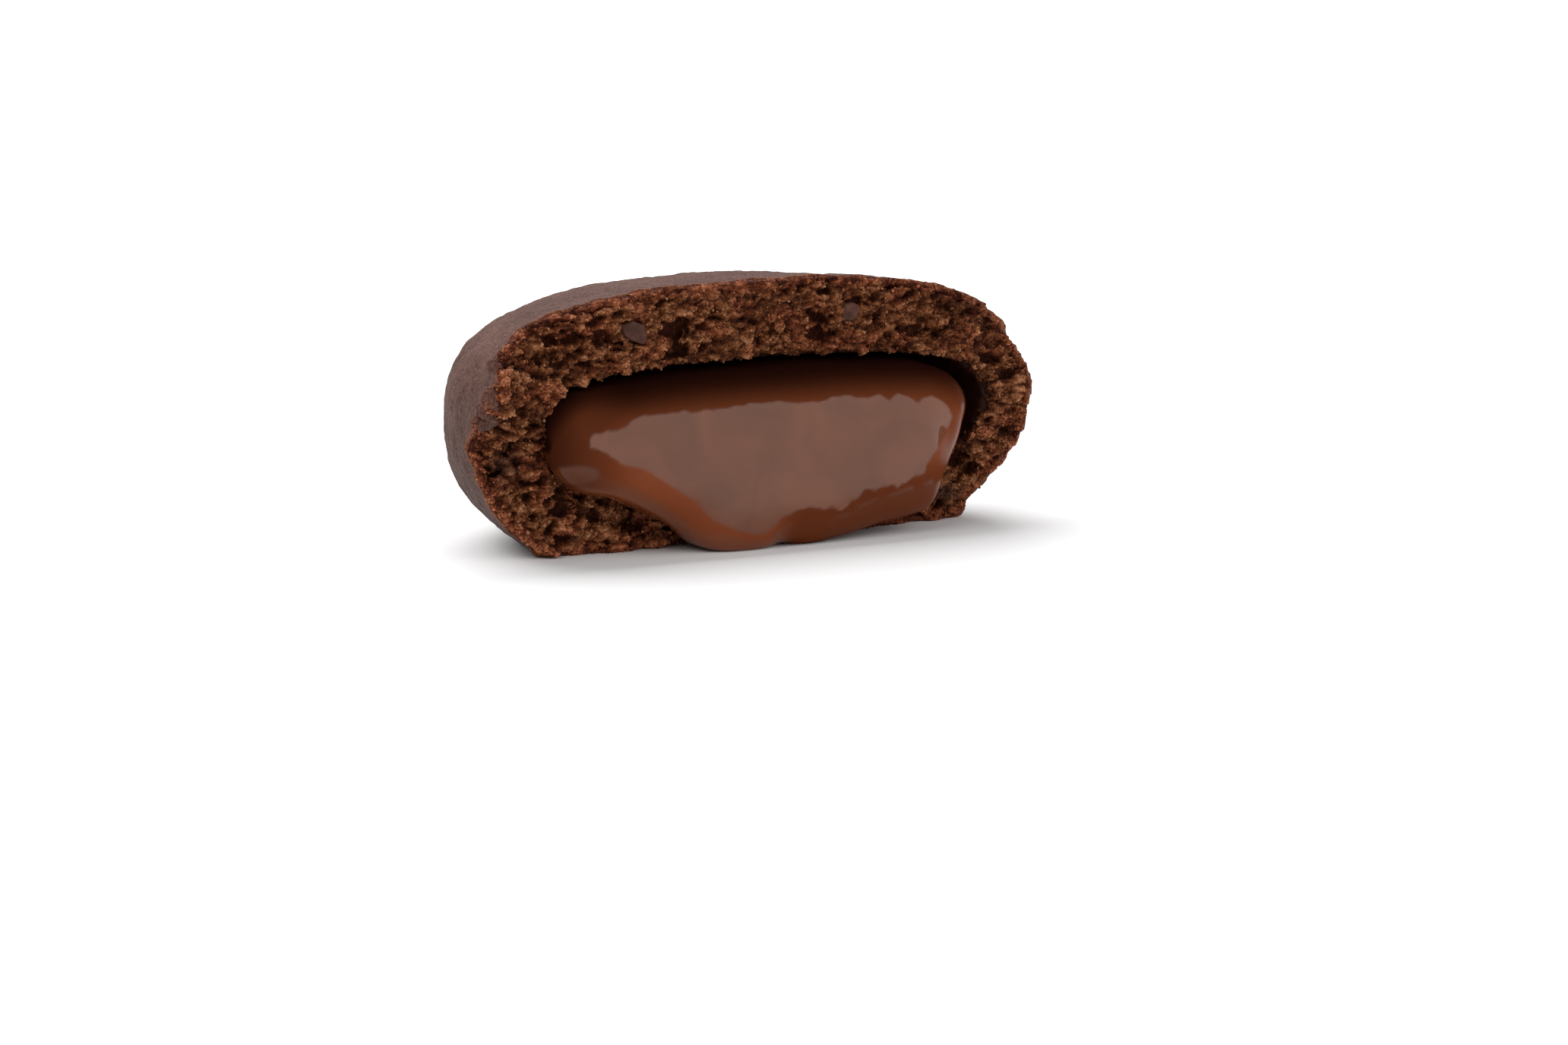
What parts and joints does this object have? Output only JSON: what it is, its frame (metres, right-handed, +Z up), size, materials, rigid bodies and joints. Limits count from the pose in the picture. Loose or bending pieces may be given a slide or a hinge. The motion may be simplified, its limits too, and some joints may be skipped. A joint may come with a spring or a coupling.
{
  "type": "brownie cookie",
  "caption": "Half of a soft, thick brownie cookie, torn across the middle, with glossy molten chocolate filling flowing from its chamber over the lower lip.",
  "frame": {"origin": "under the middle of the half cookie's bounding box, on the surface that it lies on", "axes": "+X along the break to the right, +Y from the torn face into the cookie, +Z up through the crown"},
  "size_m": [0.0498, 0.0288, 0.0202],
  "materials": {
    "crumb": "dry, porous dark brown crumb with a dull, slightly purple-brown baked crust",
    "filling": "wet, mirror-smooth milk-chocolate brown"
  },
  "bodies": {
    "root": {"cookie_half": "crumb", "chocolate_filling": "filling"}
  },
  "joints": []
}
